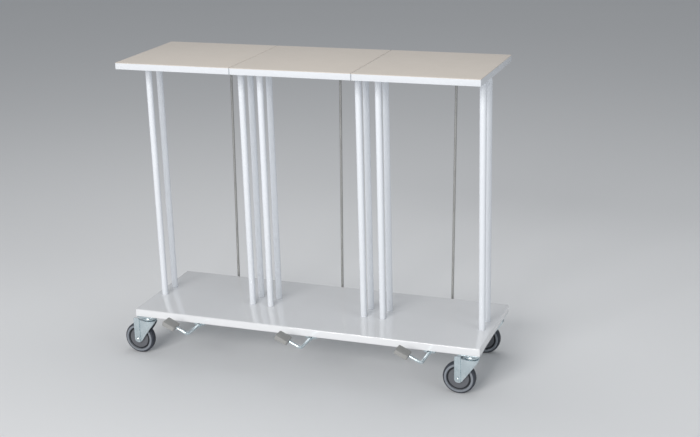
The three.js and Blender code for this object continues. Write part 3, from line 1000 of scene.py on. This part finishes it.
def makeBolt():
    half = casterSpec["cheek"] + 0.0002
    bolt = turned("axle_bolt_front_left", [
        (0, -half - 0.0040), (0.0022, -half - 0.0038), (0.0045, -half - 0.0030),
        (0.0062, -half - 0.0014), (0.0068, -half), (0.0040, -half), (0.0040, half),
        (0.0040, half + 0.0042), (0.0034, half + 0.0048), (0, half + 0.0048),
    ], axlePlace, alongY, 36)
    radius, height = casterSpec["nutRadius"], casterSpec["nutHeight"]
    nutPlace = Vector(axlePlace) + alongY * (half + height / 2)
    clearSelection()
    bpy.ops.mesh.primitive_cylinder_add(
        vertices=6, radius=radius, depth=height, rotation=(math.pi / 2, 0, 0), location=nutPlace)
    nut = claim("nut")
    combine(nut, turned("chamfer", [
        (0, -0.0019), (radius, -0.0019), (radius, 0.0008), (radius - 0.0012, 0.0019), (0, 0.0019),
    ], nutPlace, alongY, 36), "INTERSECT")
    combine(bolt, nut)
    roundEdges(bolt, 0.0002, 1, 50)
    smooth(bolt, 30)
    return bolt


def bothSides(halfProfile):
    # A wheel's half profile, mirrored to the other side and closed
    return halfProfile + [(radius, -along) for radius, along in reversed(halfProfile)]


def tagRing(piece, name, inner, outer):
    # Marks the vertices between two radii round the axle
    mark = piece.data.attributes.new(name, "FLOAT", "POINT")
    for vertex, item in zip(piece.data.vertices, mark.data):
        away = math.hypot(vertex.co.x + casterSpec["trail"], vertex.co.z - casterSpec["wheelRadius"])
        item.value = 1.0 if inner < away < outer else 0.0


def makeHub():
    half, rim = casterSpec["halfWheel"], casterSpec["rim"]
    hub = turned("wheel_core_front_left", bothSides([
        (0.0043, half + 0.0014), (0.0095, half + 0.0014), (0.0106, half + 0.0004),
        (0.0118, half - 0.0026), (0.0150, half - 0.0034), (rim - 0.0062, half - 0.0030),
        (rim - 0.0050, half - 0.0038), (rim - 0.0048, half - 0.0062), (rim - 0.0006, half - 0.0064),
        (rim, half - 0.0058),
    ]), axlePlace, alongY, 64, closed=True)
    roundEdges(hub, 0.0005, 2, 35)
    # Marks the groove, whose shade is painted dark
    tagRing(hub, "paintedGrooveShade", rim - 0.0052, rim + gap)
    smooth(hub, 30)
    return hub


def makeTyre():
    half, radius = casterSpec["halfWheel"] - 0.001, casterSpec["wheelRadius"]
    inner = casterSpec["rim"] + gap
    tyre = turned("tyre_band_front_left", bothSides([
        (inner, half - 0.0052), (inner + 0.0004, half - 0.0004), (inner + 0.0014, half + 0.0006),
        (inner + 0.0034, half + 0.0009), (inner + 0.0056, half + 0.0004), (inner + 0.0066, half - 0.0008),
        (inner + 0.0076, half - 0.0013), (radius - 0.0028, half - 0.0022), (radius - 0.0012, half - 0.0038),
        (radius - 0.0003, half - 0.0066), (radius, half - 0.0100),
    ]), axlePlace, alongY, 80, closed=True)
    tagRing(tyre, "sideRing", 0, inner + 0.0068)
    smooth(tyre, 30)
    return tyre


def makeCasters():
    firsts = {
        "head": makeHead(), "fork": makeFork(), "bolt": makeBolt(),
        "hub": makeHub(), "tyre": makeTyre(),
    }
    parts = (
        ("head", "swivel_head", "caster_head", "frame", zincPaintedLighter, "zinc_plate"),
        ("fork", "fork_pressing", "caster_fork", "swivel", zincPaintedLighter, "zinc_plate"),
        ("bolt", "axle_bolt", "caster_axle", "swivel", zincPaintedLighter, "zinc_plate"),
        ("hub", "wheel_core", "wheel_hub", "wheel", hubPlastic, "hub_plastic"),
        ("tyre", "tyre_band", "tyre", "wheel", tyreFinish, "tyre_rubber"),
    )
    for place in reversed(casterPlaces):
        swivel = Vector(joints[f"swivel_{place}"]["pos_m"])
        shift = Vector((swivel.x, swivel.y, 0))
        for part, name, node, body, look, slot in parts:
            rider = "frame" if body == "frame" else f"{body}_{place}_body"
            if place == casterPlaces[0]:
                piece = firsts[part]
                piece.name = f"{name}_{place}"
                piece.data.transform(Matrix.Translation(shift))
            else:
                piece = copyOf(firsts[part], f"{name}_{place}", shift)
            fit(piece, look, rider, slot, f"{node}_{place}")


makeTray()
makeHoops()
makeRings()
print("tray, hoops and rings made")
makeLids()
makeHinges()
print("lids and hinges made")
makeLinkage()
makeClamps()
print("pedals, rods and clamps made")
makeCasters()
print("casters made")


# Floor, light and camera

stageSpec = {
    "floorSize": 60,
    "floorColour": (0.78, 0.79, 0.80, 1),
    "floorShade": (0.76, 0.77, 0.78, 1),
    "skyColour": (0.86, 0.89, 0.93, 1),
    "skyStrength": 0.36,
}
lightSpecs = (
    # name, place, aim, width, height, watts, colour
    ("key_softbox", (-0.864, -6.05, 3.09), (0.0, 0.0, 0.5), 3.74, 2.59, 290, (1.0, 0.985, 0.97)),
    ("side_softbox", (3.6, -1.6, 2.4), (0.2, 0.0, 0.5), 1.4, 1.8, 20, (0.95, 0.98, 1.0)),
    ("top_softbox", (0.0, 0.6, 3.6), (0.0, 0.0, 0.5), 2.4, 1.6, 30, (1.0, 0.99, 0.98)),
)
cameraSpec = {
    "place": (1.4298, -3.4551, 1.6630),
    "azimuth": 20.382,
    "elevation": 17.913,
    "roll": -1.605,
    "lens": 65.753,
    "sensor": 36.0,
}


def makeFloor():
    clearSelection()
    bpy.ops.mesh.primitive_plane_add(size=stageSpec["floorSize"])
    floor = claim("floor")
    look = Look("floor_paper", Roughness=0.95, Specular_IOR_Level=0.15)
    drift = look.noise(0.6, 2)
    look.drive("Base Color", look.mixed(drift, stageSpec["floorColour"], stageSpec["floorShade"]))
    floor.data.materials.append(look.material)


def makeLights():
    world = bpy.data.worlds.new("studio")
    bpy.context.scene.world = world
    world.use_nodes = True
    sky = world.node_tree.nodes["Background"]
    sky.inputs["Color"].default_value = stageSpec["skyColour"]
    sky.inputs["Strength"].default_value = stageSpec["skyStrength"]
    for name, place, aim, width, height, watts, colour in lightSpecs:
        clearSelection()
        direction = Vector(aim) - Vector(place)
        bpy.ops.object.light_add(type="AREA", location=place,
                                 rotation=direction.to_track_quat("-Z", "Y").to_euler())
        light = bpy.context.object
        light.name = name
        light.data.shape = "RECTANGLE"
        light.data.size = width
        light.data.size_y = height
        light.data.energy = watts
        light.data.color = colour


def makeCamera():
    azimuth = math.radians(cameraSpec["azimuth"])
    elevation = math.radians(cameraSpec["elevation"])
    ahead = Vector((
        -math.sin(azimuth) * math.cos(elevation),
        math.cos(azimuth) * math.cos(elevation),
        -math.sin(elevation),
    ))
    turn = ahead.to_track_quat("-Z", "Y").to_matrix()
    roll = Matrix.Rotation(math.radians(cameraSpec["roll"]), 3, "Z")
    bpy.ops.object.camera_add(location=cameraSpec["place"], rotation=(turn @ roll).to_euler())
    camera = bpy.context.object
    camera.name = "studio_camera"
    camera.data.lens = cameraSpec["lens"]
    camera.data.sensor_width = cameraSpec["sensor"]
    bpy.context.scene.camera = camera


makeFloor()
makeLights()
makeCamera()
bpy.context.scene.view_settings.view_transform = "Standard"
clearSelection()
print("stage made")
